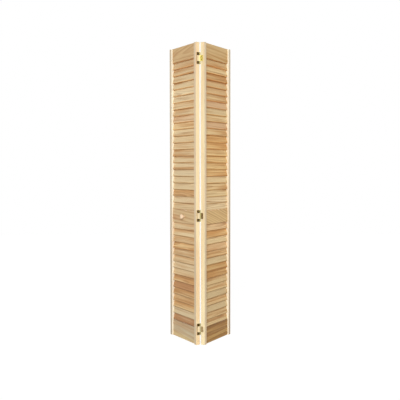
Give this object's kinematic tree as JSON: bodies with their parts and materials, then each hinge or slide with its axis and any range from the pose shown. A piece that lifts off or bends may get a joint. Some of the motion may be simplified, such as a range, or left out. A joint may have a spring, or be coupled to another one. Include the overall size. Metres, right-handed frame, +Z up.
{
  "type": "bifold closet door",
  "caption": "Louvred wooden door panels with stiles, rails and tilted slats, hinged together to fold, with a round knob on one panel.",
  "frame": {"origin": "middle of the half-folded door's bounding box, at floor level", "axes": "+Z up, the door's front faces -Y, +X to the right when seen from the front"},
  "size_m": [0.4238, 0.3122, 2.0003],
  "materials": {
    "stile_pine": "bare sanded pine",
    "rail_pine": "bare sanded pine",
    "slat_pine": "bare sanded pine",
    "knob_wood": "bare turned hardwood",
    "dowel_wood": "bare hardwood",
    "hinge_brass": "aged brass plate",
    "screw_brass": "aged brass plate"
  },
  "bodies": {
    "left_panel": {"left_hinge_stile": "stile_pine", "left_outer_stile": "stile_pine", "left_top_rail": "rail_pine", "left_middle_rail": "rail_pine", "left_bottom_rail": "rail_pine", "left_top_rail_dowel_hinge_side": "dowel_wood", "left_top_rail_dowel_outer_side": "dowel_wood", "left_middle_rail_dowel_hinge_side": "dowel_wood", "left_middle_rail_dowel_outer_side": "dowel_wood", "left_bottom_rail_dowel_hinge_side": "dowel_wood", "left_bottom_rail_dowel_outer_side": "dowel_wood", "left_upper_louvres_1": "slat_pine", "left_upper_louvres_2": "slat_pine", "left_upper_louvres_3": "slat_pine", "left_upper_louvres_4": "slat_pine", "left_lower_louvres_1": "slat_pine", "left_lower_louvres_2": "slat_pine", "left_lower_louvres_3": "slat_pine", "knob": "knob_wood", "knob_screw": "screw_brass", "top_hinge_outer_leaf": "hinge_brass", "middle_hinge_outer_leaf": "hinge_brass", "bottom_hinge_outer_leaf": "hinge_brass", "top_hinge_pin": "hinge_brass", "middle_hinge_pin": "hinge_brass", "bottom_hinge_pin": "hinge_brass", "top_hinge_outer_screw_upper": "screw_brass", "top_hinge_outer_screw_lower": "screw_brass", "middle_hinge_outer_screw_upper": "screw_brass", "middle_hinge_outer_screw_lower": "screw_brass", "bottom_hinge_outer_screw_upper": "screw_brass", "bottom_hinge_outer_screw_lower": "screw_brass"},
    "right_panel": {"right_hinge_stile": "stile_pine", "right_outer_stile": "stile_pine", "right_top_rail": "rail_pine", "right_middle_rail": "rail_pine", "right_bottom_rail": "rail_pine", "right_top_rail_dowel_hinge_side": "dowel_wood", "right_top_rail_dowel_outer_side": "dowel_wood", "right_middle_rail_dowel_hinge_side": "dowel_wood", "right_middle_rail_dowel_outer_side": "dowel_wood", "right_bottom_rail_dowel_hinge_side": "dowel_wood", "right_bottom_rail_dowel_outer_side": "dowel_wood", "right_upper_louvres_1": "slat_pine", "right_upper_louvres_2": "slat_pine", "right_upper_louvres_3": "slat_pine", "right_upper_louvres_4": "slat_pine", "right_lower_louvres_1": "slat_pine", "right_lower_louvres_2": "slat_pine", "right_lower_louvres_3": "slat_pine", "top_hinge_inner_leaf": "hinge_brass", "middle_hinge_inner_leaf": "hinge_brass", "bottom_hinge_inner_leaf": "hinge_brass", "top_hinge_inner_screw_upper": "screw_brass", "top_hinge_inner_screw_lower": "screw_brass", "middle_hinge_inner_screw_upper": "screw_brass", "middle_hinge_inner_screw_lower": "screw_brass", "bottom_hinge_inner_screw_upper": "screw_brass", "bottom_hinge_inner_screw_lower": "screw_brass"}
  },
  "joints": [
    {"name": "panel_fold", "type": "hinge", "parent": "left_panel", "child": "right_panel", "pos_m": [0, -0.14097, 1], "axis": [0, 0, 1], "range_deg": [-116.4, 63.6]}
  ]
}
